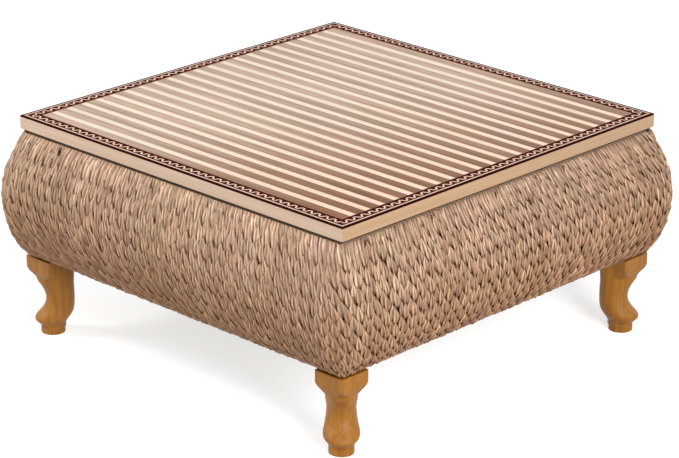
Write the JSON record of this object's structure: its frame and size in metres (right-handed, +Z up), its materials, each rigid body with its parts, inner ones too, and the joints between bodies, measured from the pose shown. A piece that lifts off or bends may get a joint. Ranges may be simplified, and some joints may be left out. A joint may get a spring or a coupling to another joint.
{
  "type": "low storage table",
  "caption": "Low square storage table: bulging woven body on cabriole legs, hinged lid topped by a bamboo mat with a ribbon border.",
  "frame": {"origin": "on the floor under the centre of the table", "axes": "+Z up, -Y the front side, +Y the hinge side, the mat's slats along X"},
  "size_m": [0.672, 0.672, 0.3125],
  "materials": {
    "pale_wood": "clear satin lacquer",
    "plywood": "sanded plywood",
    "leg_wood": "honey stain, satin lacquer",
    "frame_wood": "planed softwood",
    "husk_weave": "woven plant husk, matte",
    "light_bamboo": "polished bamboo",
    "dark_bamboo": "polished bamboo, carbonised",
    "backing_cloth": "cotton backing",
    "brocade": "woven ribbon, maroon and cream",
    "hinge_brass": "satin",
    "screw_steel": "plated",
    "plain_steel": "zinc plated"
  },
  "bodies": {
    "body": {"base_rail_front": "frame_wood", "base_rail_left": "frame_wood", "base_rail_rear": "frame_wood", "base_rail_right": "frame_wood", "box_floor": "plywood", "box_wall_front": "plywood", "box_wall_left": "plywood", "box_wall_rear": "plywood", "box_wall_right": "plywood", "corner_rib_front_left": "frame_wood", "corner_rib_front_right": "frame_wood", "corner_rib_rear_left": "frame_wood", "corner_rib_rear_right": "frame_wood", "hanger_bolts": "plain_steel", "hinge_leaf_body_left": "hinge_brass", "hinge_leaf_body_right": "hinge_brass", "hinge_pin_left": "hinge_brass", "hinge_pin_right": "hinge_brass", "hinge_screws_body": "screw_steel", "leg_front_left": "leg_wood", "leg_front_right": "leg_wood", "leg_rear_left": "leg_wood", "leg_rear_right": "leg_wood", "rib_front_1": "frame_wood", "rib_front_2": "frame_wood", "rib_left_1": "frame_wood", "rib_left_2": "frame_wood", "rib_rear_1": "frame_wood", "rib_rear_2": "frame_wood", "rib_right_1": "frame_wood", "rib_right_2": "frame_wood", "rim_rail_front": "pale_wood", "rim_rail_left": "pale_wood", "rim_rail_rear": "pale_wood", "rim_rail_right": "pale_wood", "thread_inserts": "plain_steel", "waist_hoop": "plain_steel", "woven_shell": "husk_weave"},
    "lid": {"hinge_leaf_lid_left": "hinge_brass", "hinge_leaf_lid_right": "hinge_brass", "hinge_screws_lid": "screw_steel", "lid_edge_front": "pale_wood", "lid_edge_left": "pale_wood", "lid_edge_rear": "pale_wood", "lid_edge_right": "pale_wood", "lid_panel": "plywood", "mat_backing": "backing_cloth", "mat_dark_slats": "dark_bamboo", "mat_light_slats": "light_bamboo", "ribbon_front": "brocade", "ribbon_left": "brocade", "ribbon_rear": "brocade", "ribbon_right": "brocade"}
  },
  "joints": [
    {"name": "lid_hinge", "type": "hinge", "parent": "body", "child": "lid", "pos_m": [0, 0.3032, 0.2932], "axis": [-1, 0, 0], "range_deg": [0, 100]}
  ]
}
